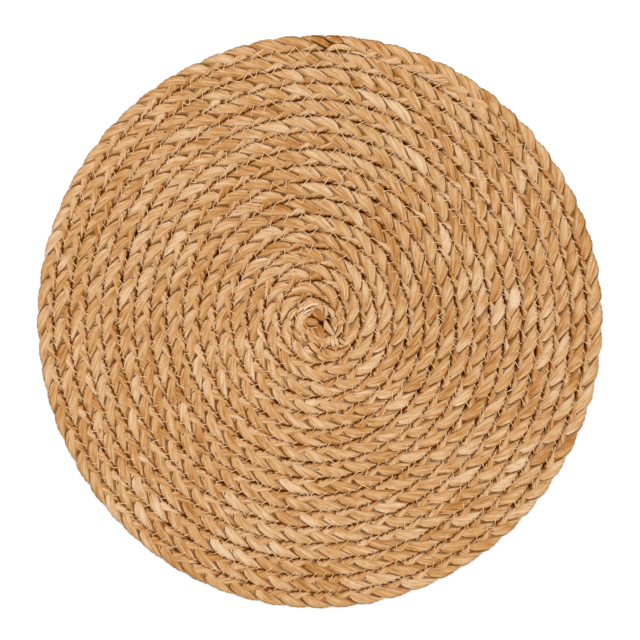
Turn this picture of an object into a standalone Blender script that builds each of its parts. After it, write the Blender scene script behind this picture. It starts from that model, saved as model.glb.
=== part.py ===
"""A round placemat: one long three-strand plait of flat leaf fibre, wound flat in a spiral.

The plait starts at the hub and winds outward, turning anticlockwise as seen from above. Each
turn keeps its radius nearly all the way round and moves out by one coil in a short stretch near
the top of the mat. The last turn closes on itself: the plait passes beneath its own tail, which
lies on top of that stretch. Lengths are in metres and +Z is up. The underside lies on Z = 0.
"""

import math

import bmesh
import bpy

# The mat as seen from above
RIM_RADIUS = 0.190  # mean radius of the rim
COIL_PITCH = 0.01083  # from one coil to the next
COILS = 18  # grooves from the hub to the rim, so 17 full coils and the curled start
COIL_GAP = 0.0003  # clear width of the groove between two coils
HUB_CLEAR = 0.0005  # the curled start stays this far from the centre
OVAL = 0.0013  # how much the mat is longer than round, towards +Y and -Y
THREE_SIDED = 0.00055  # how much the rim bulges in three places
THREE_SIDED_AT = math.radians(16)
UNEVEN_FROM = 0.050  # inside this radius the coils grow rounder towards the hub

# Where each coil moves out to the next
STEP_AT = math.radians(62)  # middle of the stretch, as an angle from +X
RIM_STEP = math.radians(42)  # its length in the outermost coil
HUB_STEP = math.radians(132)  # its length in the innermost coil

# The plait's section
THICKNESS = 0.007
START_THICKNESS = 0.0045  # of the folded end at the hub
PRESSED_THICKNESS = 0.0034  # beneath the tail
TAIL_TOP = 0.0084  # of the tail where it lies on the plait
TAIL_END_TOP = 0.0066
TAIL_END_WIDTH = 0.6  # share of the plait's width

# How the plait lies along its length, as angles
START_BEFORE = math.radians(75)  # the start, before the first whole turn
START_GROWS = math.radians(120)
TAIL_RAMP = math.radians(12)  # over this the tail climbs on to the plait
TAIL_ROOT = math.radians(-20)  # the tail lies on the plait from here, counted from STEP_AT
TAIL_END = math.radians(25)  # and ends here
TAIL_TAPER = math.radians(14)

# Steps round a turn
OUTER_STEPS = 48
INNER_STEPS = 24
INNER_COILS = 6  # the coils that take the larger steps

# Half of the plait's outline, from the middle of its underside to the middle of its top
SECTION = (
    # share of the width, share of the height
    (0.34, 0.00),
    (0.50, 0.36),
    (0.44, 0.76),
    (0.17, 1.00),
)

TURN = 2 * math.pi
LAST_STEP = (COILS - 1.5) * TURN  # the winding angle where the plait passes beneath its tail
STRAW = (0.565, 0.300, 0.125, 1.0)


def ease(share):
    """A smooth rise from 0 to 1 as share goes from 0 to 1."""
    share = min(max(share, 0.0), 1.0)
    return share * share * (3 - 2 * share)


def direction(angle):
    """The direction from +X at this winding angle. A whole turn ends opposite the step."""
    return angle + STEP_AT - math.pi


def coils_wound(angle):
    """How many coils lie inside the groove at this winding angle."""
    whole = math.floor(angle / TURN)
    step = RIM_STEP + (HUB_STEP - RIM_STEP) * (1 - whole / (COILS - 1))
    return whole + ease((angle - whole * TURN - math.pi) / step + 0.5)


def groove_radius(coils, towards):
    """The radius of the groove that many coils from the hub, in that direction."""
    even = RIM_RADIUS - COIL_PITCH * (COILS - coils)
    uneven = THREE_SIDED * math.cos(3 * (towards - THREE_SIDED_AT)) - OVAL * math.cos(2 * towards)
    return even + uneven * ease(even / UNEVEN_FROM)


def heights(angle):
    """The plait's lowest and highest point at this winding angle."""
    if angle > LAST_STEP + math.pi:
        raised = ease((angle - TURN - LAST_STEP - TAIL_ROOT) / TAIL_RAMP + 1)
        top = THICKNESS + (TAIL_TOP - THICKNESS) * raised
        top += (TAIL_END_TOP - TAIL_TOP) * tail_taper(angle)
        return (PRESSED_THICKNESS + COIL_GAP) * raised, top
    grown = ease((angle + START_BEFORE) / START_GROWS)
    top = START_THICKNESS + (THICKNESS - START_THICKNESS) * grown
    pressed = ease((angle - LAST_STEP - TAIL_ROOT) / TAIL_RAMP + 1)
    freed = ease((angle - LAST_STEP - TAIL_END) / TAIL_RAMP)
    return 0.0, top + (PRESSED_THICKNESS - THICKNESS) * (pressed - freed)


def tail_taper(angle):
    """How far the tail has thinned at this winding angle, from 0 to 1 at its end."""
    return ease(1 - (LAST_STEP + TURN + TAIL_END - angle) / TAIL_TAPER)


def sides(angle):
    """The radii of the plait's inner and outer side at this winding angle."""
    towards = direction(angle)
    inner = groove_radius(min(coils_wound(angle), COILS - 1), towards) + COIL_GAP / 2
    outer = groove_radius(min(coils_wound(angle + TURN), COILS), towards) - COIL_GAP / 2
    inner = max(inner, HUB_CLEAR)
    narrowed = (outer - inner) * (1 - TAIL_END_WIDTH) / 2 * tail_taper(angle)
    return inner + narrowed, outer - narrowed


def stations():
    """The winding angles of the sections, with larger steps near the hub."""
    coarse, fine = TURN / INNER_STEPS, TURN / OUTER_STEPS
    first = round(-START_BEFORE / coarse)
    change = INNER_COILS * INNER_STEPS
    last = math.floor((LAST_STEP + TURN + TAIL_END) / fine)
    angles = [step * coarse for step in range(first, change)]
    return angles + [step * fine for step in range(INNER_COILS * OUTER_STEPS, last + 1)]


def section_points(angle):
    """The corners of the plait's section at this winding angle, once round."""
    towards = direction(angle)
    inner, outer = sides(angle)
    low, high = heights(angle)
    middle, width = (inner + outer) / 2, outer - inner
    outward = [(middle + width * share, low + (high - low) * up) for share, up in SECTION]
    inward = [(2 * middle - radius, z) for radius, z in reversed(outward)]
    return [
        (radius * math.cos(towards), radius * math.sin(towards), z)
        for radius, z in outward + inward
    ]


def straw_material():
    """Dry leaf fibre: pale brown, dull and not metallic."""
    material = bpy.data.materials.new("dry_leaf_fibre")
    material.use_nodes = True
    shader = material.node_tree.nodes["Principled BSDF"]
    shader.inputs["Base Color"].default_value = STRAW
    shader.inputs["Roughness"].default_value = 0.7
    shader.inputs["Metallic"].default_value = 0.0
    return material


def centred(sections):
    """The same sections, moved so that the middle of the mat's outline is the origin."""
    points = [point for section in sections for point in section]
    shift_x, shift_y = (
        -(min(point[axis] for point in points) + max(point[axis] for point in points)) / 2
        for axis in (0, 1)
    )
    return [[(x + shift_x, y + shift_y, z) for x, y, z in section] for section in sections]


def wound_plait(collection):
    """Makes the plait as a loft through its sections, closed at the hub and at the tail."""
    mesh = bpy.data.meshes.new("braid")
    shape = bmesh.new()
    sections = centred([section_points(angle) for angle in stations()])
    rings = [[shape.verts.new(point) for point in section] for section in sections]
    for ring, following in zip(rings, rings[1:]):
        for side in range(len(ring)):
            beside = (side + 1) % len(ring)
            shape.faces.new((ring[side], ring[beside], following[beside], following[side]))
    shape.faces.new(rings[0])
    shape.faces.new(rings[-1])
    bmesh.ops.recalc_face_normals(shape, faces=shape.faces)
    shape.to_mesh(mesh)
    shape.free()
    mesh.materials.append(straw_material())
    plait = bpy.data.objects.new("braid", mesh)
    collection.objects.link(plait)
    return plait


def main():
    """Clears the scene and builds the mat in its own collection."""
    for thing in list(bpy.data.objects):
        bpy.data.objects.remove(thing, do_unlink=True)
    collection = bpy.data.collections.new("braided_placemat")
    bpy.context.scene.collection.children.link(collection)
    wound_plait(collection)


main()
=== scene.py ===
"""The looks of a round placemat: one long three-strand plait of dry leaf, coiled and sewn.

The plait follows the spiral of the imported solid. Each strand is a flat leaf that crosses over the
middle of the plait, folds round its edge and comes back beneath. A pale thread zigzags across the
groove between each coil and the next, on both faces. Lengths are in metres and +Z is up.
"""

import logging
import math
from dataclasses import dataclass, field
from enum import Enum

import bpy
import numpy as np
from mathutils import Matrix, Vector
from mathutils.bvhtree import BVHTree


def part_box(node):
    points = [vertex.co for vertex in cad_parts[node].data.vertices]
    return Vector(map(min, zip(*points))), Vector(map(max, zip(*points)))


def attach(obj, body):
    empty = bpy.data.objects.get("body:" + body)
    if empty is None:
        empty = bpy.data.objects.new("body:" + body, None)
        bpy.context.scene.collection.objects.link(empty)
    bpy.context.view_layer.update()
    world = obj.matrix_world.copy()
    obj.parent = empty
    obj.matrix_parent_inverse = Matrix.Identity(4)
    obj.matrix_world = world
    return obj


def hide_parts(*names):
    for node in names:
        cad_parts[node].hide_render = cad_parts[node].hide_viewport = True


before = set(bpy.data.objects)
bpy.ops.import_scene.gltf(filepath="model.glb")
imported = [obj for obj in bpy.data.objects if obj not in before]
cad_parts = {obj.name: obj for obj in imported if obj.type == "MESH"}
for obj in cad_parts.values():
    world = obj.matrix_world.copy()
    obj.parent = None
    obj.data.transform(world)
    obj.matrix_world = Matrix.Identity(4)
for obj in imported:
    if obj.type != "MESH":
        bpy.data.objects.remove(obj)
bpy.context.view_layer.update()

NODE = "braid"
TURN = 2 * math.pi
MM = 0.001

log = logging.getLogger("placemat")


def ease(share: np.ndarray) -> np.ndarray:
    """A smooth rise from 0 to 1 as share goes from 0 to 1.

    Args:
        share: any numbers; below 0 gives 0 and above 1 gives 1.

    Returns:
        The eased numbers, in the same shape.
    """
    share = np.clip(share, 0.0, 1.0)
    return share * share * (3 - 2 * share)


def wander(along: np.ndarray, spacing: float, seed: int) -> np.ndarray:
    """A smooth random walk between -1 and 1 along a length.

    Args:
        along: places along the length, in metres.
        spacing: distance from one random value to the next, in metres.
        seed: of the random values.

    Returns:
        The value at each place.
    """
    count = int(np.ceil(along.max() / spacing)) + 3
    values = np.random.default_rng(seed).uniform(-1, 1, count)
    place = (along - along.min()) / spacing
    whole = np.floor(place).astype(int)
    return values[whole] + (values[whole + 1] - values[whole]) * ease(place - whole)


@dataclass(frozen=True)
class Uneven:
    """Something that changes smoothly and at random along the plait.

    Attributes:
        most: how much it changes, to each side.
        spacing: from one random value to the next, in metres.
        seed: of the random values.
    """

    most: float
    spacing: float
    seed: int

    def at(self, along: np.ndarray, seed_on: int = 0) -> np.ndarray:
        """The change at each place along the plait.

        Args:
            along: the places, in metres.
            seed_on: added to the seed, so that each strand has its own change.

        Returns:
            The changes.
        """
        return self.most * wander(along, self.spacing, self.seed + seed_on)


def linear(srgb: str) -> tuple[float, float, float, float]:
    """Turns an sRGB hex colour to the linear one that a shader takes.

    Args:
        srgb: six hex digits.

    Returns:
        Red, green, blue and an alpha of 1.
    """
    parts = [int(srgb[i : i + 2], 16) / 255 for i in (0, 2, 4)]
    return tuple(v / 12.92 if v <= 0.04045 else ((v + 0.055) / 1.055) ** 2.4 for v in parts) + (1.0,)


def add_node(tree: bpy.types.NodeTree, kind: str, settings: dict | None = None,
             **inputs: object) -> bpy.types.Node:
    """Adds a shader node with its settings, values and links.

    Args:
        tree: the material's or world's node tree.
        kind: the node's type name.
        settings: properties of the node by name.
        **inputs: a value, or a socket to link, for each input; "_" stands for a space in its name,
            and "in0" for the input at that index.

    Returns:
        The node.
    """
    node = tree.nodes.new(kind)
    for name, value in (settings or {}).items():
        setattr(node, name, value)
    for name, value in inputs.items():
        by_index = name[:2] == "in" and name[2:].isdigit()
        socket = node.inputs[int(name[2:]) if by_index else name.replace("_", " ")]
        if isinstance(value, bpy.types.NodeSocket):
            tree.links.new(value, socket)
        else:
            socket.default_value = value
    return node


def new_material(name: str) -> tuple[bpy.types.Material, bpy.types.NodeTree]:
    """Makes an empty node material.

    Args:
        name: the material's name.

    Returns:
        The material and its node tree, without nodes.
    """
    material = bpy.data.materials.new(name)
    material.use_nodes = True
    material.node_tree.nodes.clear()
    return material, material.node_tree


class Face(Enum):
    """A face of the mat, and which way is out of it."""

    UPPER = 1
    UNDER = -1


@dataclass(frozen=True)
class Fade:
    """A shade that fades out with the distance from the edge of the leaf that lies on top.

    Attributes:
        start: the distance where it is strongest, below 0 beneath that leaf.
        end: the distance where it is gone.
        most: its strength at the start, from 0 to 1.
    """

    start: float
    end: float
    most: float


@dataclass(frozen=True)
class LeafFinish:
    """Water-hyacinth or seagrass leaf, dried, flattened and plaited.

    The eye sees a dull, pale straw face with darker fibres along the leaf and small brown
    flecks. Painted light is added: a dark brown painted contact shadow beside each leaf that crosses it,
    and painted shade, brown to near black, where it dips into a groove.
    """

    pale: str = "D6B795"
    straw: str = "C29563"
    tan: str = "9F642B"
    tan_at: float = 0.12  # of the tone, from 0 to 1
    pale_at: float = 0.88
    fleck: str = "825024"
    # colour of the painted contact shadow beside the edge of a covering leaf
    edge: str = "5C2F08"
    # painted shade for places deep among their neighbours: mid brown, then near black where deepest
    shade: str = "8A4A12"
    painted_deep_shade: str = "2A0B00"
    fibre: tuple[float, float] = (11 * MM, 0.62 * MM)  # length and width, drawn coarse enough to show
    streak: tuple[float, float] = (17 * MM, 1.7 * MM)
    blotch: tuple[float, float] = (14.4 * MM, 4.5 * MM)
    crease: tuple[float, float] = (7 * MM, 1.1 * MM)
    fleck_size: tuple[float, float] = (5.5 * MM, 0.8 * MM)
    fibre_share: float = 1.40  # how much the fibres change the tone
    streak_share: float = 0.85
    blotch_share: float = 0.40
    fleck_from: float = 0.60  # the noise above which flecks begin
    fleck_full: float = 0.72
    fleck_most: float = 0.70
    frayed: float = 0.42 * MM  # how uneven the covering leaf's edge is
    # painted contact shadow: a dark line on the lower leaf beside the edge of the leaf on top; the next
    # fade is taken from it beneath that leaf
    painted_contact_shadow: Fade = Fade(0.0, 0.45 * MM, 0.92)
    line_end: Fade = Fade(-0.9 * MM, -0.15 * MM, 0.68)  # taken from that line beneath the leaf
    # painted shade on leaf that shows from beneath the leaf on top
    beneath: Fade = Fade(-2.9 * MM, -1.8 * MM, 0.8)
    shade_full: float = 0.5  # how deep a place lies when it is all shade
    deep_shade_from: float = 0.4
    deep_shade_full: float = 0.95
    fibre_relief: float = 0.10 * MM
    fibre_bump: float = 0.8
    crease_relief: float = 0.28 * MM
    crease_bump: float = 0.9
    roughness: float = 0.58
    specular: float = 0.0

    def drawn(self, tree: bpy.types.NodeTree, place: bpy.types.NodeSocket, size: tuple[float, float],
              detail: float) -> bpy.types.NodeSocket:
        """Noise drawn out along the leaf.

        Args:
            tree: the material's node tree.
            place: the place on the flat leaf, in metres.
            size: of a streak, along the leaf and across it.
            detail: octaves of the noise.

        Returns:
            The noise's value.
        """
        length, width = size
        scale = (1 / length, 1 / width, 1 / width)
        scaled = add_node(tree, "ShaderNodeMapping", Vector=place, Scale=scale).outputs[0]
        return add_node(
            tree, "ShaderNodeTexNoise", Vector=scaled, Scale=1.0, Detail=detail, Roughness=0.6
        ).outputs[0]

    def faded(self, tree: bpy.types.NodeTree, clear: bpy.types.NodeSocket,
              fade: Fade) -> bpy.types.NodeSocket:
        """How strong a shade is at each place.

        Args:
            tree: the material's node tree.
            clear: the distance from the covering leaf's frayed edge, in metres.
            fade: the shade.

        Returns:
            Its strength.
        """
        return add_node(
            tree, "ShaderNodeMapRange", {"interpolation_type": "SMOOTHSTEP"}, Value=clear,
            From_Min=fade.start + self.frayed / 2, From_Max=fade.end + self.frayed / 2,
            To_Min=fade.most, To_Max=0.0,
        ).outputs[0]

    def toned(self, tree: bpy.types.NodeTree, place: bpy.types.NodeSocket, tone: bpy.types.NodeSocket,
              fibres: bpy.types.NodeSocket) -> bpy.types.NodeSocket:
        """The colour of the bare leaf, without its shades.

        Args:
            tree: the material's node tree.
            place: the place on the flat leaf, in metres.
            tone: how pale the leaf is there.
            fibres: the fibres' noise.

        Returns:
            The colour.
        """
        streaks = self.drawn(tree, place, self.streak, 2.0)
        blotches = self.drawn(tree, place, self.blotch, 3.0)
        noises = (fibres, streaks, blotches)
        shares = (self.fibre_share, self.streak_share, self.blotch_share)
        level = tone
        for noise, share in zip(noises, shares):
            level = add_node(
                tree, "ShaderNodeMath", {"operation": "MULTIPLY_ADD"}, in0=noise, in1=share, in2=level
            ).outputs[0]
        even = sum(shares) / 2  # a noise is a half on average
        level = add_node(tree, "ShaderNodeMath", {"operation": "SUBTRACT"}, in0=level, in1=even)
        ramp = add_node(tree, "ShaderNodeValToRGB", in0=level.outputs[0])
        stops = ramp.color_ramp.elements
        stops[0].position, stops[0].color = self.tan_at, linear(self.tan)
        stops[1].position, stops[1].color = self.pale_at, linear(self.pale)
        stops.new((self.tan_at + self.pale_at) / 2).color = linear(self.straw)
        return ramp.outputs[0]

    def build(self) -> bpy.types.Material:
        """Makes the material."""
        material, tree = new_material("dried_leaf_plaited")
        place = add_node(tree, "ShaderNodeAttribute", {"attribute_name": "leaf_place"}).outputs["Vector"]
        tone, painted_shade, clear = (
            add_node(tree, "ShaderNodeAttribute", {"attribute_name": name}).outputs["Fac"]
            for name in ("leaf_tone", "painted_shade", "clear")
        )
        fibres = self.drawn(tree, place, self.fibre, 3.0)
        creases = self.drawn(tree, place, self.crease, 2.0)
        noise = self.drawn(tree, place, self.fleck_size, 3.0)
        flecks = add_node(
            tree, "ShaderNodeMapRange", {"interpolation_type": "SMOOTHSTEP"}, Value=noise,
            From_Min=self.fleck_from, From_Max=self.fleck_full, To_Max=self.fleck_most,
        )
        clear = add_node(
            tree, "ShaderNodeMath", {"operation": "MULTIPLY_ADD"}, in0=fibres, in1=self.frayed, in2=clear
        ).outputs[0]
        # Painted contact shadow beside the edge of the leaf that lies on top
        beside = add_node(
            tree, "ShaderNodeMath", {"operation": "SUBTRACT", "use_clamp": True},
            in0=self.faded(tree, clear, self.painted_contact_shadow), in1=self.faded(tree, clear, self.line_end),
        )
        # Painted shade, mid brown then near black, in the grooves and beneath covering leaves
        deep = add_node(
            tree, "ShaderNodeMath", {"operation": "MAXIMUM"}, in0=painted_shade,
            in1=self.faded(tree, clear, self.beneath),
        ).outputs[0]
        shaded = add_node(tree, "ShaderNodeMapRange", Value=deep, From_Max=self.shade_full)
        deep_shade_amount = add_node(
            tree, "ShaderNodeMapRange", Value=deep, From_Min=self.deep_shade_from, From_Max=self.deep_shade_full
        )
        colour = self.toned(tree, place, tone, fibres)
        layers = ((flecks, self.fleck), (beside, self.edge), (shaded, self.shade), (deep_shade_amount, self.painted_deep_shade))
        for amount, over in layers:
            colour = add_node(
                tree, "ShaderNodeMix", {"data_type": "RGBA"}, in0=amount.outputs[0], in6=colour,
                in7=linear(over),
            ).outputs[2]
        relief = add_node(
            tree, "ShaderNodeBump", Strength=self.fibre_bump, Distance=self.fibre_relief, Height=fibres
        )
        relief = add_node(
            tree, "ShaderNodeBump", Strength=self.crease_bump, Distance=self.crease_relief,
            Height=creases, Normal=relief.outputs[0],
        )
        shader = add_node(
            tree, "ShaderNodeBsdfPrincipled", Base_Color=colour, Normal=relief.outputs[0],
            Roughness=self.roughness, Specular_IOR_Level=self.specular,
        )
        add_node(tree, "ShaderNodeOutputMaterial", Surface=shader.outputs[0])
        return material


@dataclass(frozen=True)
class ThreadFinish:
    """Thin twisted cotton or raffia sewing thread: pale and dull, a little uneven in its tone."""

    pale: str = "EBD0A5"
    dull: str = "D6B481"
    dull_at: float = 0.3  # of the noise
    pale_at: float = 0.65
    uneven: float = 1.2 * MM
    relief: float = 0.1 * MM
    roughness: float = 0.6
    specular: float = 0.3

    def build(self) -> bpy.types.Material:
        """Makes the material."""
        material, tree = new_material("twisted_sewing_thread")
        place = add_node(tree, "ShaderNodeNewGeometry").outputs["Position"]
        noise = add_node(
            tree, "ShaderNodeTexNoise", Vector=place, Scale=1 / self.uneven, Detail=2.0
        ).outputs[0]
        ramp = add_node(tree, "ShaderNodeValToRGB", in0=noise)
        stops = ramp.color_ramp.elements
        stops[0].position, stops[0].color = self.dull_at, linear(self.dull)
        stops[1].position, stops[1].color = self.pale_at, linear(self.pale)
        relief = add_node(tree, "ShaderNodeBump", Strength=0.5, Distance=self.relief, Height=noise)
        shader = add_node(
            tree, "ShaderNodeBsdfPrincipled", Base_Color=ramp.outputs[0], Normal=relief.outputs[0],
            Roughness=self.roughness, Specular_IOR_Level=self.specular,
        )
        add_node(tree, "ShaderNodeOutputMaterial", Surface=shader.outputs[0])
        return material


@dataclass(frozen=True)
class PaperFinish:
    """Matt white photographic paper, lit so that it stays white."""

    white: str = "FCFCFC"
    roughness: float = 0.9
    specular: float = 0.1
    glow: float = 0.02

    def build(self) -> bpy.types.Material:
        """Makes the material."""
        material, tree = new_material("matt_white_paper")
        shader = add_node(
            tree, "ShaderNodeBsdfPrincipled", Base_Color=linear(self.white), Roughness=self.roughness,
            Specular_IOR_Level=self.specular, Emission_Color=linear("FFFFFF"),
            Emission_Strength=self.glow,
        )
        add_node(tree, "ShaderNodeOutputMaterial", Surface=shader.outputs[0])
        return material


@dataclass(frozen=True)
class Spiral:
    """The spiral in which the plait is wound, with the solid's own sizes.

    A place along the plait is its winding angle: it grows outward from the hub, and a whole turn
    ends opposite the stretch where the coils step outward.
    """

    rim_radius: float = 0.190
    pitch: float = 0.01083
    coils: int = 18
    hub_clear: float = 0.5 * MM
    oval: float = 1.3 * MM
    three_sided: float = 0.55 * MM
    three_sided_at: float = math.radians(16)
    uneven_from: float = 0.050
    step_at: float = math.radians(62)
    rim_step: float = math.radians(42)
    hub_step: float = math.radians(132)
    thickness: float = 7.0 * MM
    start_thickness: float = 4.5 * MM
    pressed: float = 6.4 * MM  # beneath the tail, which sinks into it a little
    lifted: float = 3.7 * MM  # the tail's lower side
    tail_top: float = 8.4 * MM
    tail_end_top: float = 6.6 * MM
    start_before: float = math.radians(75)
    start_grows: float = math.radians(120)
    shown_from: float = math.radians(150)  # before this the loose leaves at the hub show instead
    tail_ramp: float = math.radians(12)
    tail_root: float = math.radians(-5)
    tail_end: float = math.radians(25)
    tail_taper: float = math.radians(14)

    @property
    def last_step(self) -> float:
        """The winding angle where the plait passes beneath its tail."""
        return (self.coils - 1.5) * TURN

    @property
    def first(self) -> float:
        """The winding angle of the plait's start."""
        return -self.start_before

    @property
    def last(self) -> float:
        """The winding angle of the plait's end."""
        return self.last_step + TURN + self.tail_end

    def towards(self, angle: np.ndarray) -> np.ndarray:
        """The direction from +X at each winding angle, in radians."""
        return angle + self.step_at - math.pi

    def wound(self, angle: np.ndarray) -> np.ndarray:
        """Counts the coils, along the groove at the plait's inner side.

        Args:
            angle: winding angles.

        Returns:
            How many coils lie inside the groove there.
        """
        whole = np.floor(angle / TURN)
        step = self.rim_step + (self.hub_step - self.rim_step) * (1 - whole / (self.coils - 1))
        return whole + ease((angle - whole * TURN - math.pi) / step + 0.5)

    def groove(self, coils: np.ndarray, towards: np.ndarray) -> np.ndarray:
        """The radius of a groove.

        Args:
            coils: how many coils lie inside it.
            towards: the direction from +X.

        Returns:
            Its radius there.
        """
        even = self.rim_radius - self.pitch * (self.coils - coils)
        uneven = self.three_sided * np.cos(3 * (towards - self.three_sided_at))
        uneven = uneven - self.oval * np.cos(2 * towards)
        return even + uneven * ease(even / self.uneven_from)

    def sides(self, angle: np.ndarray) -> tuple[np.ndarray, np.ndarray]:
        """Where the plait's sides lie.

        Args:
            angle: winding angles.

        Returns:
            The radii of its inner and its outer side.
        """
        towards = self.towards(angle)
        inner = self.groove(np.minimum(self.wound(angle), self.coils - 1), towards)
        outer = self.groove(np.minimum(self.wound(angle + TURN), self.coils), towards)
        return np.maximum(inner, self.hub_clear), outer

    def heights(self, angle: np.ndarray) -> tuple[np.ndarray, np.ndarray]:
        """How high the plait lies.

        Args:
            angle: winding angles.

        Returns:
            The heights of its lowest and its highest point.
        """
        raised = ease((angle - TURN - self.last_step - self.tail_root) / self.tail_ramp + 1)
        taper = ease(1 - (self.last - angle) / self.tail_taper)
        tail_top = self.thickness + (self.tail_top - self.thickness) * raised
        tail_top = tail_top + (self.tail_end_top - self.tail_top) * taper
        grown = ease((angle + self.start_before) / self.start_grows)
        top = self.start_thickness + (self.thickness - self.start_thickness) * grown
        down = ease((angle - self.last_step - self.tail_root) / self.tail_ramp + 1)
        down = down - ease((angle - self.last_step - self.tail_end) / self.tail_ramp)
        top = top + (self.pressed - self.thickness) * down
        tail = angle > self.last_step + math.pi
        return np.where(tail, self.lifted * raised, 0.0), np.where(tail, tail_top, top)


@dataclass
class PlaitLine:
    """Places along the plait's middle, evenly spaced, with the plait's size at each.

    Attributes:
        spiral: the spiral that it follows.
        spacing: from one place to the next.
        along: how far each place is from the start.
        angle: its winding angle.
        towards: its direction from +X.
        radius: its distance from the hub.
        half_width: half of the plait's width there.
        middle: the height of the plait's middle.
        half_height: half of the plait's height.
    """

    spiral: Spiral
    spacing: float
    sway: Uneven = Uneven(0.30 * MM, 45 * MM, 21)  # sideways, except at the rim
    tail_inward: float = 0.35 * MM  # how much nearer the hub the tail lies, and how much wider
    tail_from: float = math.radians(-19.2)  # counted from where the last coil steps outward
    tail_over: float = math.radians(16)
    rim_over: float = math.radians(20)
    along: np.ndarray = field(init=False)
    angle: np.ndarray = field(init=False)
    towards: np.ndarray = field(init=False)
    radius: np.ndarray = field(init=False)
    half_width: np.ndarray = field(init=False)
    middle: np.ndarray = field(init=False)
    half_height: np.ndarray = field(init=False)

    def __post_init__(self) -> None:
        """Measures the spiral and spaces the places along it."""
        fine = np.arange(self.spiral.shown_from, self.spiral.last, math.radians(0.5))
        inner, outer = self.spiral.sides(fine)
        radius, towards = (inner + outer) / 2, self.spiral.towards(fine)
        x, y = radius * np.cos(towards), radius * np.sin(towards)
        length = np.concatenate([[0], np.cumsum(np.hypot(np.diff(x), np.diff(y)))])
        self.along = np.linspace(0, length[-1], int(length[-1] / self.spacing) + 1)
        self.angle = np.interp(self.along, length, fine)
        inner, outer = self.spiral.sides(self.angle)
        low, high = self.spiral.heights(self.angle)
        self.towards = self.spiral.towards(self.angle)
        inward = self.tail_inward * self.tail
        strays = self.sway.at(self.along) * (1 - self.rim)
        self.radius = (inner + outer) / 2 + strays - inward
        self.half_width = (outer - inner) / 2 + inward
        self.middle, self.half_height = (low + high) / 2, (high - low) / 2

    @property
    def tail(self) -> np.ndarray:
        """Where the plait lies on top of itself, from 0 to 1."""
        past = self.angle - self.spiral.last_step - TURN - self.tail_from
        return ease(past / self.tail_over)

    @property
    def rim(self) -> np.ndarray:
        """Where the plait is the outermost coil, from 0 to 1."""
        return ease((self.angle - self.spiral.last_step) / self.rim_over)


def mesh_piece(name: str, points: np.ndarray, quads: np.ndarray, material: bpy.types.Material,
               values: dict[str, np.ndarray]) -> bpy.types.Object:
    """Makes a smooth mesh object.

    Args:
        name: the object's name.
        points: its points, one row each.
        quads: the indices of each face's four points; a triangle repeats its last point.
        material: its material.
        values: for each named attribute, a number or a vector for every point.

    Returns:
        The object, linked to the scene.
    """
    mesh = bpy.data.meshes.new(name)
    triangle = quads[:, 2] == quads[:, 3]
    sizes = np.where(triangle, 3, 4)
    keep = np.ones(quads.shape, bool)
    keep[triangle, 3] = False
    corners = quads[keep].astype(np.int32)
    mesh.vertices.add(len(points))
    mesh.vertices.foreach_set("co", points.astype(np.float32).ravel())
    mesh.loops.add(len(corners))
    mesh.loops.foreach_set("vertex_index", corners)
    mesh.polygons.add(len(quads))
    starts = np.concatenate([[0], np.cumsum(sizes)[:-1]]).astype(np.int32)
    mesh.polygons.foreach_set("loop_start", starts)
    mesh.update(calc_edges=True)
    mesh.validate()
    mesh.polygons.foreach_set("use_smooth", np.ones(len(mesh.polygons), bool))
    for attribute, numbers in values.items():
        kind, key = ("FLOAT_VECTOR", "vector") if numbers.ndim == 2 else ("FLOAT", "value")
        layer = mesh.attributes.new(attribute, kind, "POINT")
        layer.data.foreach_set(key, numbers.astype(np.float32).ravel())
    mesh.materials.append(material)
    piece = bpy.data.objects.new(name, mesh)
    bpy.context.scene.collection.objects.link(piece)
    log.info("%s: %d points, %d faces", name, len(points), len(quads))
    return piece


def tube_faces(rings: int, sides: int) -> np.ndarray:
    """The faces of a closed tube.

    Args:
        rings: how many rings of points it has.
        sides: how many points a ring has; an even number.

    Returns:
        Four point indices for each face, the two ends included.
    """
    ring, side = np.meshgrid(np.arange(rings - 1), np.arange(sides), indexing="ij")
    beside = (side + 1) % sides
    here, beyond = ring * sides, (ring + 1) * sides
    walls = np.stack([here + side, here + beside, beyond + beside, beyond + side], axis=-1)
    strip = np.arange(sides // 2 - 1)
    cap = np.stack([strip, sides - 1 - strip, sides - 2 - strip, strip + 1], axis=-1)
    last = (rings - 1) * sides
    return np.concatenate([walls.reshape(-1, 4), cap, last + cap[:, ::-1]])


def unit(vectors: np.ndarray) -> np.ndarray:
    """The vectors at length 1."""
    return vectors / np.maximum(np.linalg.norm(vectors, axis=-1, keepdims=True), 1e-12)


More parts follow.
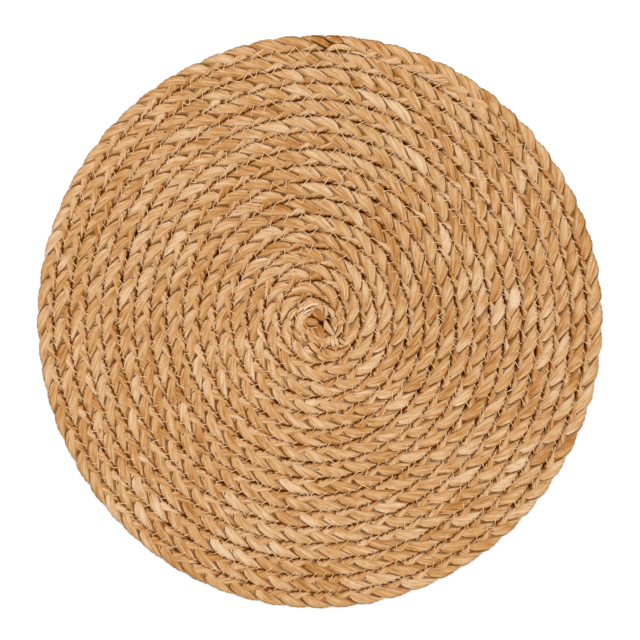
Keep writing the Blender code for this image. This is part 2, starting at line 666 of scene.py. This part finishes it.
@dataclass
class Strand:
    """One of the plait's three strands: a flat leaf that weaves from side to side.

    On its way to the plait's edge it lies on one face. There it folds round the edge on to the
    other face, and then it passes through the middle to the first face again, on the other side.
    Its place in that weave is its phase: it is at the outer edge at a quarter turn, at the inner
    edge at three quarters, and in the middle of the plait at none and at a half.

    Attributes:
        number: 0, 1 or 2, its place in the plait.
        line: the plait's middle.
        centre: where the hub lies, seen from above.
    """

    number: int
    line: PlaitLine
    centre: np.ndarray
    period: float = 51 * MM
    hurry: float = 0.14  # how much faster the strand crosses the middle than it runs along an edge
    half_phase: float = math.radians(79)  # half of the leaf's width
    width_change: Uneven = Uneven(0.08, 35 * MM, 41)  # as a share of it
    half_thickness: float = 1.15 * MM
    thickness_share: float = 0.95  # of it, on average
    thickness_change: Uneven = Uneven(0.12, 20 * MM, 45)
    ridge: float = 0.10 * MM  # three lengthwise ridges
    ridge_turn: Uneven = Uneven(4.0, 11 * MM, 50)  # how they stray round the leaf, in radians
    crease: float = 0.07 * MM  # four lengthwise creases
    crease_turn: Uneven = Uneven(4.0, 8 * MM, 51)
    flatness: float = 0.60  # 1 for a leaf with an oval section, less for one with flatter faces
    fold_width: float = 3.45 * MM  # of leaf for each radian of phase
    droop: float = 20.0  # how the leaf dips towards the plait's middle
    crossing: float = 0.30  # the half turns over which the leaf passes through the plait
    early: float = 0.23  # the half turns by which it comes up sooner
    slant: float = 0.35  # how far its leading side comes up before its trailing side
    covered_from: float = -0.70  # the phase, from its middle, where the other side begins to cover it
    covered_by: float = -0.10
    crossing_gap: float = 0.12  # between it and the leaf that crosses over it, as a phase
    open_gap: float = 7.0  # the same before that leaf covers it, so that it counts for nothing
    shingle: float = 0.42 * MM  # how far its trailing side stands proud of the next leaf
    sides: int = 16
    free_half_width: float = 5.4 * MM  # of the plait, before it is rolled over and pressed
    free_half_height: float = 3.5 * MM
    drift: Uneven = Uneven(2.2 * MM, 60 * MM, 11)  # of the whole plait's lobes, along it
    own_drift: Uneven = Uneven(1.1 * MM, 28 * MM, 60)  # of each strand's lobes
    rolled: float = 35.0  # how far the plait is rolled over, in degrees
    rolled_right: float = 9.0  # how much further it is rolled at the right of the mat
    rolled_right_at: float = math.radians(5)
    rolled_below: float = -8.0  # how much further at its lower side
    roll_change: Uneven = Uneven(7.0, 90 * MM, 12)
    scallop: float = 0.085  # how far each lobe bulges past the plait's edge, as a share of its width
    covered_sink: float = 0.12  # how far the leaf draws in beneath the one that covers it
    covered_over: float = 1.4 * MM
    jitter: Uneven = Uneven(0.20 * MM, 13 * MM, 31)
    overlap: float = 1.13  # of the plait's width to the coils' pitch, as the coils press together
    overlap_sideways: float = 0.04  # how much more at the right of the mat
    rim_drawn_in: float = 0.10  # how much less the outermost coil's free side reaches
    spread: float = 0.14  # how much further its lower half reaches, so that the floor is hidden
    flattened: float = 0.3 * MM  # over about this height the table presses its underside flat
    farthest: float = 3 * MM  # from a covering leaf's edge, in the distances kept for the finish
    drawn_half_width: float = 3.3 * MM  # of the leaf, for the finish
    pattern_apart: float = 20.0  # from one strand's pattern to the next one's
    lobe_tones: float = 0.08  # how much lobes differ
    lobe_seed: int = 70
    darkest_lobe: float = -1.1  # in shares of lobe_tones
    tone_turns: float = 0.14  # the last share of a lobe, where its tone turns to the next one's
    tone_change: Uneven = Uneven(0.08, 110 * MM, 80)
    bleached: tuple[int, float] = (2, 5.232)  # the strand and the place along it of one pale lobe
    bleached_half_length: float = 6 * MM
    bleached_by: float = 0.55

    def phase(self, others_on: int = 0) -> np.ndarray:
        """How far through its weave a strand is, in radians, at each place.

        Args:
            others_on: 0 for this strand, 1 for the one that is a third of the weave ahead, and so on.

        Returns:
            The phases.
        """
        along, number = self.line.along, self.number + others_on
        pulled = along + self.drift.at(along) + self.own_drift.at(along, number % 3)
        return TURN * (pulled / self.period + number / 3)

    def roll(self) -> np.ndarray:
        """How far the plait is rolled over, its outer edge upward, in radians."""
        line = self.line
        roll = self.rolled + self.rolled_right * np.cos(line.towards - self.rolled_right_at)
        roll = roll + self.rolled_below * np.maximum(-np.sin(line.towards), 0)
        return np.radians(roll + self.roll_change.at(line.along))

    def folded(self, phase: np.ndarray) -> np.ndarray:
        """The leaf folded round the plait's outer edge.

        Args:
            phase: places across the leaf, from 0 in the plait's middle on the upper face, through
                a quarter turn at the edge, to a half turn in the middle on the lower face.

        Returns:
            Distances outward and upward from the plait's middle, in the last axis.
        """
        radius = self.free_half_height - self.half_thickness
        tip = self.free_half_width - 0.8 * self.half_thickness
        length = self.fold_width * (np.pi / 2 - phase)
        bend = np.clip(length / radius, -np.pi / 2, np.pi / 2)
        straight = np.abs(length) - np.abs(bend) * radius
        outward = tip - radius + radius * np.cos(bend) - straight
        upward = radius * np.sin(bend) - np.sign(length) * self.droop * straight**2
        return np.stack([outward, upward], axis=-1)

    def place(self, phase: np.ndarray) -> np.ndarray:
        """Where the middle of the leaf lies in the weave; it hurries across the plait's middle."""
        return phase + self.hurry * np.sin(2 * phase)

    def half_width(self) -> np.ndarray:
        """Half of the leaf's width at each place along it, in radians of the weave."""
        return self.half_phase * (1 + self.width_change.at(self.line.along, self.number))

    def across(self, phase: np.ndarray, share: np.ndarray) -> tuple[np.ndarray, np.ndarray]:
        """Places across the leaf's middle surface, in the plait's own section.

        Args:
            phase: the strand's phase at each place along it.
            share: places across the leaf, from -1 to 1.

        Returns:
            Distances outward and upward for each place along and across, and for each of them
            1 where the leaf's proud side is outward and -1 where it is turned inward.
        """
        turns = phase / np.pi
        middle = np.round(turns)
        spread = self.half_width()[:, None] * share[None, :]
        place = self.place(phase)[:, None] + spread
        ahead = (turns - middle + self.early + self.crossing)[:, None] + self.slant * spread / np.pi
        later = ease(ahead / (2 * self.crossing))[..., None]
        before = self.folded(place - (middle[:, None] - 1) * np.pi)
        after = self.folded(place - middle[:, None] * np.pi)
        outer_after = np.where(middle % 2 == 0, 1.0, -1.0)[:, None]
        before[..., 0] *= -outer_after
        after[..., 0] *= outer_after
        return before * (1 - later) + after * later, outer_after * (2 * later[..., 0] - 1)

    def clear(self, phase: np.ndarray, share: np.ndarray) -> np.ndarray:
        """How far each point is from the edge of the leaf that covers it, below 0 if covered.

        Args:
            phase: the strand's phase at each place along it.
            share: places across the leaf, from -1 to 1.

        Returns:
            The distances, in metres.
        """
        middle = np.round(phase / np.pi) * np.pi
        half = self.half_width()
        place = self.place(phase)[:, None] + half[:, None] * share[None, :]
        same_side = (self.place(self.phase(1)) - half)[:, None] - place
        other_side = place + (self.place(self.phase(2) - np.pi) - 2 * middle - half)[:, None]
        past = place - middle[:, None] - self.covered_from
        crossed = ease(past / (self.covered_by - self.covered_from))
        other_side = other_side + self.crossing_gap + self.open_gap * (1 - crossed)
        nearest = np.minimum(same_side, other_side)
        return np.clip(nearest * self.fold_width, -self.farthest, self.farthest)

    def section(self) -> tuple[np.ndarray, np.ndarray]:
        """The points round the leaf in the plait's own section, rolled and fitted to the coil.

        Returns:
            The points, and for each its distance across and through the leaf.
        """
        phase, line = self.phase(), self.line
        around = np.arange(self.sides) * TURN / self.sides
        half = self.sides // 2
        share = np.cos(around[: half + 1])
        middle, turned = self.across(phase, share)
        tangent = unit(np.gradient(middle, share, axis=1))
        proud = np.stack([-tangent[..., 1], tangent[..., 0]], axis=-1)
        order = np.concatenate([np.arange(half + 1), np.arange(half - 1, 0, -1)])
        thick = np.sign(np.sin(around)) * np.abs(np.sin(around)) ** self.flatness
        thickness = self.thickness_share + self.thickness_change.at(line.along, self.number)
        thick = thick[None, :] * self.half_thickness * thickness[:, None] + self.creases(around)
        raised = thick - self.shingle * share[order][None, :] * turned[:, order]
        points = middle[:, order] + proud[:, order] * raised[..., None]
        covered = ease(-self.clear(phase, share)[:, order] / self.covered_over)
        points = points * (1 - self.covered_sink * covered)[..., None]
        points[..., 0] *= 1 - self.scallop * np.cos(2 * self.place(phase))[:, None]
        points = points + self.jitter.at(line.along, self.number)[:, None, None]

        # The plait is rolled over, then pressed between its neighbours in the coil
        roll = self.roll()[:, None]
        outward = points[..., 0] * np.cos(roll) - points[..., 1] * np.sin(roll)
        upward = points[..., 0] * np.sin(roll) + points[..., 1] * np.cos(roll)
        length = self.free_half_width - self.free_half_height
        reach = length * np.cos(roll) + self.free_half_height
        height = length * np.abs(np.sin(roll)) + self.free_half_height
        right = np.maximum(np.cos(line.towards), 0)[:, None]
        pressed = self.overlap + self.overlap_sideways * right**2
        outward = outward / reach * line.half_width[:, None] * pressed
        upward = upward / height * line.half_height[:, None]
        low = ease(-upward / line.half_height[:, None] / 0.6)
        bare = np.where(outward > 0, line.rim[:, None], 0.0)
        outward = outward * (1 + self.spread * low * (1 - bare)) * (1 - self.rim_drawn_in * bare)
        wide = np.broadcast_to(self.drawn_half_width * np.cos(around)[None, :], thick.shape)
        return np.stack([outward, upward], axis=-1), np.stack([wide, thick], axis=-1)

    def build(self, material: bpy.types.Material) -> bpy.types.Object:
        """Makes the strand's mesh.

        Args:
            material: the leaf's finish.

        Returns:
            The piece.
        """
        line, phase = self.line, self.phase()
        section, leaf = self.section()
        radius = line.radius[:, None] + section[..., 0]
        towards = line.towards[:, None]
        level = line.middle[:, None] + section[..., 1]
        points = np.stack(
            [
                self.centre[0] + radius * np.cos(towards),
                self.centre[1] + radius * np.sin(towards),
                (level + np.hypot(level, self.flattened)) / 2,
            ],
            axis=-1,
        )
        along = np.broadcast_to(line.along[:, None] + self.pattern_apart * self.number, radius.shape)
        share = np.cos(np.arange(self.sides) * TURN / self.sides)
        values = {
            "leaf_place": np.dstack([along, leaf]).reshape(-1, 3),
            "leaf_tone": np.repeat(self.tone(phase), self.sides),
            "painted_shade": self.painted_shade(section, phase).ravel(),
            "clear": self.clear(phase, share).ravel(),
        }
        name = f"plait_strand_{self.number + 1}"
        faces = tube_faces(len(line.along), self.sides)[:, ::-1]
        piece = mesh_piece(name, points.reshape(-1, 3), faces, material, values)
        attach(piece, "root")
        return piece

    def creases(self, around: np.ndarray) -> np.ndarray:
        """Lengthwise ridges and hollows on the leaf.

        Args:
            around: places round the leaf's section, in radians.

        Returns:
            The height of the leaf's surface for each place along and round it.
        """
        along, seed_on = self.line.along, 10 * self.number
        ridges = np.sin(3 * around[None, :] + self.ridge_turn.at(along, seed_on)[:, None])
        creases = np.sin(4 * around[None, :] + self.crease_turn.at(along, seed_on)[:, None])
        return (self.ridge * ridges + self.crease * creases) * np.abs(np.sin(around))[None, :]

    def tone(self, phase: np.ndarray) -> np.ndarray:
        """How pale the leaf is at each place, mostly alike within one lobe.

        Args:
            phase: the strand's phase at each place along it.

        Returns:
            The tones, around a half.
        """
        half = phase / np.pi
        lobe = np.floor(half).astype(int)
        shades = np.random.default_rng(self.lobe_seed + self.number).normal(0, 1, lobe.max() + 3)
        shades = np.maximum(shades, self.darkest_lobe)
        turned = ease(1 - (lobe + 1 - half) / self.tone_turns)
        by_lobe = shades[lobe] * (1 - turned) + shades[lobe + 1] * turned
        slow = self.tone_change.at(self.line.along, self.number)
        strand, place = self.bleached
        away = (self.line.along - place) / self.bleached_half_length
        spot = np.exp(-(away**4)) if self.number == strand else 0
        return 0.5 + self.lobe_tones * by_lobe + slow + self.bleached_by * spot

    def painted_shade(self, section: np.ndarray, phase: np.ndarray) -> np.ndarray:
        """How much painted shade each point gets for lying deep among its neighbours, from 0 on the
        mat's face to 1.

        Args:
            section: the points in the plait's own section.
            phase: the strand's phase at each place along it; the grooves are deepest between lobes.

        Returns:
            The depths.
        """
        line = self.line
        # painted shade deep inside the plait and down each groove's sides, strongest between lobes; none
        # on the rim's free side or over the tail
        hollow = (0.55 + 0.45 * np.cos(2 * self.place(phase)))[:, None]
        outward = section[..., 0] / line.half_width[:, None]
        upward = section[..., 1] / line.half_height[:, None]
        depth = 1 - np.hypot(outward, upward)
        inside = ease((depth - 0.42) / 0.35)
        at_side = ease((np.abs(outward) - 0.84 + 0.16 * hollow) / 0.20)
        below_crown = ease((1 - np.abs(upward) - 0.35 + 0.2 * hollow) / 0.30)
        bare = np.where(outward > 0, line.rim[:, None], line.tail[:, None])
        return np.clip(np.maximum(inside, at_side * below_crown * (1 - bare)), 0, 1)


@dataclass(frozen=True)
class Leaf:
    """A short visible stretch of leaf, where the plait's regular weave ends.

    Attributes:
        path: points on the plan that it passes, in millimetres from the mat's middle.
        half_width: in millimetres.
        top: height of its crown, in millimetres.
        tone: how pale it is, from 0 to 1, or more where it is bleached.
        blunt: 0.2 for an end that is cut square, 0.6 for a pointed one.
        dark: how much painted shade it gets for lying in shade, from 0 to 1.
    """

    path: tuple[tuple[float, float], ...]
    half_width: float
    top: float
    tone: float
    blunt: float = 0.55
    dark: float = 0.0


@dataclass(frozen=True)
class LooseLeaves:
    """Leaves that lie over the plait at its start or its end, as one piece.

    Attributes:
        name: the piece's name.
        leaves: the leaves.
        rings: how many rings of points a leaf has.
        sides: how many points a ring has.
        half_thickness: of a leaf, in millimetres.
        tucked: how far each end dips, in millimetres.
        edge_painted_shade: how much painted shade a leaf's edge gets, from 0 to 1, beside its crown.
        tones: the finish's tones for a leaf of tone 0 and of tone 1.
        rounded: how many times the corners of a leaf's path are rounded.
        seed: of the first leaf's unevenness.
    """

    name: str
    leaves: tuple[Leaf, ...]
    rings: int = 18
    sides: int = 12
    half_thickness: float = 1.3
    tucked: float = 1.6
    edge_painted_shade: float = 0.85
    tones: tuple[float, float] = (0.10, 0.85)
    rounded: int = 6
    seed: int = 200

    def points(self, leaf: Leaf, seed: int) -> tuple[np.ndarray, np.ndarray]:
        """Shapes one leaf.

        Args:
            leaf: the leaf.
            seed: of its small unevenness.

        Returns:
            The points round the leaf and their places on it, in millimetres.
        """
        share = np.linspace(0, 1, self.rings)
        knots = np.linspace(0, 1, len(leaf.path))
        corners = np.array(leaf.path)
        rough = np.stack([np.interp(share, knots, corners[:, axis]) for axis in (0, 1)], axis=-1)
        for _ in range(self.rounded):
            rough[1:-1] = (rough[:-2] + 2 * rough[1:-1] + rough[2:]) / 4
        ahead = unit(np.gradient(rough, axis=0))
        beside = np.stack([-ahead[:, 1], ahead[:, 0]], axis=-1)
        length = np.concatenate([[0], np.cumsum(np.linalg.norm(np.diff(rough, axis=0), axis=1))])
        swell = np.sin(np.pi * (0.02 + 0.96 * share)) ** leaf.blunt
        width = leaf.half_width * swell * (1 + 0.08 * wander(length, 2.0, seed))
        around = np.arange(self.sides) * TURN / self.sides
        thick = min(self.half_thickness, 0.8 * leaf.half_width)
        crease = 0.14 * np.sin(4 * around[None, :] + 3 * wander(length, 3.0, seed + 1)[:, None])
        across = np.cos(around)[None, :] * width[:, None]
        up = (np.sin(around)[None, :] * thick + crease * np.abs(np.sin(around))) * swell[:, None]
        lift = leaf.top - thick - self.tucked * (1 - np.sin(np.pi * share)) ** 2
        plan = rough[:, None, :] + beside[:, None, :] * across[..., None]
        points = np.concatenate([plan, (lift[:, None] + up)[..., None]], axis=-1)
        places = np.dstack([np.broadcast_to(length[:, None] + 50 * seed, across.shape), across, up])
        return points, places

    def build(self, material: bpy.types.Material) -> bpy.types.Object:
        """Makes the leaves as one mesh.

        Args:
            material: the leaf's finish.

        Returns:
            The piece.
        """
        made = [self.points(leaf, self.seed + 3 * index) for index, leaf in enumerate(self.leaves)]
        around = np.arange(self.sides) * TURN / self.sides
        # painted shade along each leaf's edges, beside its crown
        outline = np.tile(self.edge_painted_shade * ease((0.86 - np.sin(around)) / 0.42), self.rings)
        count = self.rings * self.sides
        faces = tube_faces(self.rings, self.sides)
        quads = np.concatenate([faces + index * count for index in range(len(made))])
        low, high = self.tones
        tones = [low + (high - low) * leaf.tone for leaf in self.leaves]
        values = {
            "leaf_place": np.concatenate([places.reshape(-1, 3) for _, places in made]) * MM,
            "leaf_tone": np.repeat(tones, count),
            "painted_shade": np.concatenate([np.maximum(leaf.dark, outline) for leaf in self.leaves]),
            "clear": np.full(count * len(made), Strand.farthest),
        }
        points = np.concatenate([points.reshape(-1, 3) for points, _ in made]) * MM
        piece = mesh_piece(self.name, points, quads, material, values)
        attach(piece, "root")
        return piece


HUB_LEAVES = LooseLeaves("hub_leaves", (
    # A leaf's sixth number, where given, is its painted shade
    Leaf(((-11.0, 0.5), (0.0, -1.0), (10.0, -2.5)), 11.0, 4.2, 0.05, 0.3, 0.92),  # deep inside
    Leaf(((-3.0, -9.0), (4.0, -11.0), (12.0, -13.0)), 4.5, 5.2, 0.05, 0.3, 0.80),
    Leaf(((-3.0, 12.5), (3.0, 10.0), (9.5, 6.5)), 3.4, 6.0, 0.35, 0.3, 0.1),
    Leaf(((-21.5, 0.0), (-19.0, 5.0), (-15.0, 9.0)), 3.2, 7.5, 0.62),
    Leaf(((-22.0, -2.0), (-20.3, -6.0), (-18.0, -9.5)), 2.4, 7.3, 0.50),
    Leaf(((-18.5, -4.6), (-15.0, -9.5), (-11.8, -13.5)), 2.6, 7.4, 0.58),
    Leaf(((-7.8, -12.6), (-3.5, -18.0), (1.4, -22.5)), 2.8, 7.6, 0.60),
    Leaf(((2.4, -18.5), (7.0, -21.0), (12.0, -22.0)), 2.8, 7.5, 0.55),
    Leaf(((-2.5, -11.0), (1.2, -14.5), (4.5, -18.4)), 2.5, 7.4, 0.50),
    Leaf(((-14.0, 0.0), (-11.5, -5.0), (-8.0, -9.5)), 2.6, 7.0, 0.50),
    Leaf(((-10.5, -3.2), (-7.5, -8.0), (-2.5, -12.0)), 2.3, 6.9, 0.55),
    Leaf(((-7.0, -2.5), (-4.5, -7.0), (-3.0, -10.5)), 1.9, 6.6, 0.42),
    Leaf(((-3.0, -1.2), (-0.2, -6.6), (3.0, -12.8)), 4.3, 6.3, 0.18, 0.45, 0.10),
    Leaf(((-10.6, 1.2), (-6.4, -0.2), (-1.2, -1.0)), 3.7, 6.8, 0.25, 0.3, 0.06),  # the brown knob
    Leaf(((-5.4, 7.3), (-1.0, 5.0), (3.8, 0.8)), 4.1, 6.7, 0.32, 0.45, 0.04),
    Leaf(((-12.1, 5.5), (-9.3, 9.9), (-4.3, 12.1), (1.5, 11.0)), 1.8, 7.6, 1.2),  # bleached, frayed
    Leaf(((-11.3, 4.1), (-8.8, 7.1), (-4.9, 8.0)), 1.2, 7.4, 1.2, 0.3),
    Leaf(((-12.9, 7.7), (-9.9, 11.6), (-5.4, 13.5)), 1.0, 7.6, 0.9),
    Leaf(((-12.4, 3.6), (-10.6, 5.4), (-8.0, 5.6)), 0.8, 7.4, 1.3, 0.3),
    Leaf(((3.7, 9.9), (8.2, 6.6), (9.0, 1.0)), 2.4, 7.8, 0.60),  # the plait's heart-shaped end
    Leaf(((9.5, 8.2), (12.9, 3.3), (13.7, -1.5)), 2.2, 7.7, 0.48),
    Leaf(((3.0, 1.2), (5.2, -4.5), (10.0, -9.8)), 2.8, 8.3, 0.68),
    Leaf(((14.5, -0.2), (13.6, -5.3), (10.5, -9.8)), 2.3, 8.2, 0.62),
    Leaf(((5.7, -8.9), (5.9, -12.8), (6.8, -16.4)), 2.0, 7.5, 0.80, 0.4),  # the frayed knob
    Leaf(((7.9, -10.1), (8.4, -13.9), (9.3, -17.3)), 2.1, 7.8, 1.00, 0.4),
    Leaf(((10.4, -10.3), (10.9, -13.7), (12.3, -17.0)), 2.0, 7.6, 0.85, 0.4),
    Leaf(((12.3, -10.9), (14.5, -13.4), (17.3, -15.0)), 2.2, 7.5, 0.62, 0.4),
))
TAIL_LEAVES = LooseLeaves("tail_leaves", (
    Leaf(((-6.8, 189.3), (0.7, 187.0), (7.2, 182.7)), 3.1, 8.7, 0.28),
    Leaf(((3.5, 189.8), (10.3, 187.6), (16.4, 184.1)), 3.0, 8.8, 0.35),
    Leaf(((4.5, 181.0), (11.7, 183.7), (21.2, 181.7)), 2.9, 9.0, 0.72, 0.4),
    Leaf(((19.9, 179.8), (26.0, 178.9), (33.2, 176.0)), 1.2, 8.4, 0.85),
))


@dataclass
class Sewing:
    """The thread that joins each coil to the next, seen on one face.

    A pair of values is for a plain stitch and for a long one, near the top of the mat.

    Attributes:
        face: which face.
        spiral: the spiral of the plait.
        centre: where the hub lies, seen from above.
        surface: the strands, as a tree that rays can meet.
    """

    face: Face
    spiral: Spiral
    centre: np.ndarray
    surface: BVHTree
    seed: int = 5
    thread_radius: float = 0.33 * MM
    lowest: float = 0.25 * MM  # for the thread's middle, pressed into the leaf by the table
    sides: int = 4
    points: int = 6
    starts_after: float = 1.15 * TURN  # of the plait, where the loose leaves at the hub end
    pitch: tuple[float, float] = (7.0 * MM, 11.2 * MM)
    pitch_shares: tuple[float, float] = (0.65, 1.45)  # the least and the most of it
    reach: tuple[float, float] = (2.1 * MM, 3.7 * MM)  # to each side of the groove
    least_reach: tuple[float, float] = (0.40, 0.70)  # as a share of it
    most_reach: float = 1.35
    least_slant: tuple[float, float] = (0.25, 0.40)  # how far it goes along, as a share of the pitch
    most_slant: float = 0.60
    comes_back: tuple[float, float] = (0.12, 0.74)  # how often the way back shows too
    long_at: float = math.radians(88)
    long_spread: float = math.radians(24)
    long_radius: float = 90 * MM  # inside this radius the long stitches are less long
    sag: float = 0.3 * MM  # of a stitch between its ends

    def legs(self) -> list[tuple[np.ndarray, np.ndarray]]:
        """Spaces the stitches along the spiral.

        Returns:
            The two ends of each visible stretch of thread, as points on the plan.
        """
        random = np.random.default_rng(self.seed + self.face.value)
        angle, found = self.spiral.first + self.starts_after, []
        last = self.spiral.last_step + TURN - self.spiral.rim_step / 2
        while angle < last:
            towards = self.spiral.towards(angle)
            groove = float(self.spiral.groove(self.spiral.wound(angle), towards))
            away = (towards - self.long_at + math.pi) % TURN - math.pi
            long = math.exp(-((away / self.long_spread) ** 2)) * min(groove / self.long_radius, 1.0)
            pitch, reach, least, slant, back = (
                plain + (longer - plain) * long
                for plain, longer in (
                    self.pitch, self.reach, self.least_reach, self.least_slant, self.comes_back
                )
            )
            step = pitch * random.uniform(*self.pitch_shares) / groove
            inner = groove - reach * random.uniform(least, self.most_reach)
            outer = groove + reach * random.uniform(least, self.most_reach)
            turn = angle + step * random.uniform(slant, self.most_slant)
            found.append((self.on_plan(outer, angle), self.on_plan(inner, turn)))
            if random.random() < back:
                found.append((self.on_plan(inner, turn), self.on_plan(outer, angle + step)))
            angle += step
        return found

    def on_plan(self, radius: float, angle: float) -> np.ndarray:
        """The point at this radius and winding angle, seen from above."""
        towards = self.spiral.towards(angle)
        return self.centre + radius * np.array([math.cos(towards), math.sin(towards)])

    def level(self, x: float, y: float) -> float:
        """The height of the plait's surface at a point on the plan, on this face.

        Args:
            x: towards the right.
            y: towards the top of the mat.

        Returns:
            The height, or that of the plait's middle where there is no leaf.
        """
        sign = self.face.value
        start = Vector((x, y, 30 * MM * sign))
        place, _, _, _ = self.surface.ray_cast(start, Vector((0, 0, -sign)), 50 * MM)
        return place.z if place else self.spiral.thickness / 2

    def leg_points(self, start: np.ndarray, end: np.ndarray) -> np.ndarray:
        """A stretch of thread, pulled tight over the surface and sunk at both ends.

        Args:
            start: where it comes up, on the plan.
            end: where it goes down.

        Returns:
            The points along its middle.
        """
        sign = self.face.value
        share = np.linspace(0, 1, self.points)
        plan = start[None, :] * (1 - share[:, None]) + end[None, :] * share[:, None]
        floor = np.array([self.level(x, y) * sign for x, y in plan])
        straight = floor[0] * (1 - share) + floor[-1] * share
        sagging = straight - self.sag * np.sin(np.pi * share)
        height = np.maximum(floor + 0.9 * self.thread_radius, sagging)
        height[[0, -1]] = floor[[0, -1]] - 1.2 * self.thread_radius
        return np.column_stack([plan, np.maximum(height * sign, self.lowest)])

    def build(self, material: bpy.types.Material) -> bpy.types.Object:
        """Makes all the stitches on this face as one piece.

        Args:
            material: the thread's finish.

        Returns:
            The piece.
        """
        lines = np.array([self.leg_points(start, end) for start, end in self.legs()])
        ahead = unit(np.gradient(lines, axis=1))
        across = unit(np.cross(ahead, np.array([0.0, 0.0, 1.0])))
        proud = np.cross(across, ahead)
        around = (np.arange(self.sides) + 0.5) * TURN / self.sides
        ring = across[:, :, None, :] * np.cos(around)[None, None, :, None]
        ring = ring + proud[:, :, None, :] * np.sin(around)[None, None, :, None]
        points = lines[:, :, None, :] + ring * self.thread_radius
        faces = tube_faces(self.points, self.sides)
        starts = np.arange(len(lines)) * self.points * self.sides
        quads = (faces[None, :, :] + starts[:, None, None]).reshape(-1, 4)
        name = f"sewing_thread_{self.face.name.lower()}"
        piece = mesh_piece(name, points.reshape(-1, 3), quads, material, {})
        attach(piece, "root")
        return piece


@dataclass
class Placemat:
    """The whole mat: its plait, its sewing and where they lie."""

    spiral: Spiral = field(default_factory=Spiral)
    ring_spacing: float = 1.75 * MM

    def centre(self) -> np.ndarray:
        """Fits the spiral to the solid.

        Returns:
            Where the spiral's hub lies, so that its outline and the solid's have one middle.
        """
        angle = np.linspace(self.spiral.last - TURN, self.spiral.last, 721)
        radius, towards = self.spiral.sides(angle)[1], self.spiral.towards(angle)
        outline = np.stack([radius * np.cos(towards), radius * np.sin(towards)], axis=-1)
        low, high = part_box(NODE)
        solid = np.array([(low[axis] + high[axis]) / 2 for axis in (0, 1)])
        return solid - (outline.min(0) + outline.max(0)) / 2

    def build(self) -> None:
        """Makes the strands and the sewing, and hides the plain solid."""
        line = PlaitLine(self.spiral, self.ring_spacing)
        centre = self.centre()
        leaf = LeafFinish().build()
        strands = [Strand(number, line, centre).build(leaf) for number in range(3)]
        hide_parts(NODE)
        ends = [loose.build(leaf) for loose in (HUB_LEAVES, TAIL_LEAVES)]
        surface = self.surface(strands + ends)
        thread = ThreadFinish().build()
        for face in Face:
            Sewing(face, self.spiral, centre, surface).build(thread)

    def surface(self, pieces: list[bpy.types.Object]) -> BVHTree:
        """Gathers the pieces' faces.

        Args:
            pieces: the strands and the loose leaves.

        Returns:
            The faces as one tree that rays can meet.
        """
        points, faces = [], []
        for piece in pieces:
            mesh = piece.data
            start = len(points)
            points += [vertex.co.copy() for vertex in mesh.vertices]
            faces += [[start + index for index in face.vertices] for face in mesh.polygons]
        return BVHTree.FromPolygons(points, faces)


@dataclass(frozen=True)
class SoftLight:
    """A square soft light that faces the mat.

    Attributes:
        name: the light's name.
        place: where it hangs.
        size: the length of its side.
        power: in watts.
    """

    name: str
    place: tuple[float, float, float]
    size: float
    power: float

    def build(self) -> None:
        """Hangs the light."""
        data = bpy.data.lights.new(self.name, "AREA")
        data.shape, data.size, data.energy = "SQUARE", self.size, self.power
        lamp = bpy.data.objects.new(self.name, data)
        lamp.location = self.place
        lamp.rotation_euler = (-Vector(self.place)).to_track_quat("-Z", "Y").to_euler()
        bpy.context.scene.collection.objects.link(lamp)


@dataclass(frozen=True)
class Studio:
    """The white paper, the soft light and the camera straight above the mat."""

    frame_width: float = 0.4284  # of the mat's plane, across the photograph
    frame_level: float = 3.5 * MM  # of that plane above the table
    mat_below_middle: float = 1.0 * MM  # the mat's middle, on the photograph
    lens: float = 85.0
    sensor: float = 36.0
    floor_size: float = 4.0
    floor_below: float = 0.1 * MM
    lights: tuple[SoftLight, ...] = (
        SoftLight("soft_light_above", (-0.18, 0.25, 1.75), 1.5, 29.5),
        SoftLight("soft_light_fill", (0.8, -0.5, 1.5), 1.2, 6.8),
    )
    sky_strength: float = 0.43

    def floor(self) -> None:
        """Lays the paper just beneath the mat."""
        half, level = self.floor_size / 2, -self.floor_below
        signs = ((-1, -1), (1, -1), (1, 1), (-1, 1))
        corners = np.array([(half * right, half * up, level) for right, up in signs])
        face = np.array([[0, 1, 2, 3]])
        paper = mesh_piece("paper_floor", corners, face, PaperFinish().build(), {})

    def sky(self) -> None:
        """Fills the surroundings with even white light."""
        world = bpy.data.worlds.new("white_surroundings")
        world.use_nodes = True
        tree = world.node_tree
        tree.nodes.clear()
        white = linear("FFFFFF")
        sky = add_node(tree, "ShaderNodeBackground", Color=white, Strength=self.sky_strength)
        add_node(tree, "ShaderNodeOutputWorld", Surface=sky.outputs[0])
        bpy.context.scene.world = world

    def camera(self) -> None:
        """Sets the camera straight above the mat, so that the photograph's frame fits."""
        data = bpy.data.cameras.new("camera_above")
        data.lens, data.sensor_width = self.lens, self.sensor
        view = bpy.data.objects.new("camera_above", data)
        above = self.frame_width * self.lens / self.sensor
        view.location = (0.0, self.mat_below_middle, above + self.frame_level)
        bpy.context.scene.collection.objects.link(view)
        bpy.context.scene.camera = view

    def build(self) -> None:
        """Sets up the floor, the lights and the camera."""
        self.floor()
        for light in self.lights:
            light.build()
        self.sky()
        self.camera()
        scene = bpy.context.scene
        scene.view_settings.view_transform = "Standard"
        scene.view_settings.look = "None"


def main() -> None:
    """Builds the mat and the studio."""
    logging.basicConfig(level=logging.INFO, format="%(name)s: %(message)s")
    Placemat().build()
    Studio().build()


if __name__ == "__main__":
    main()
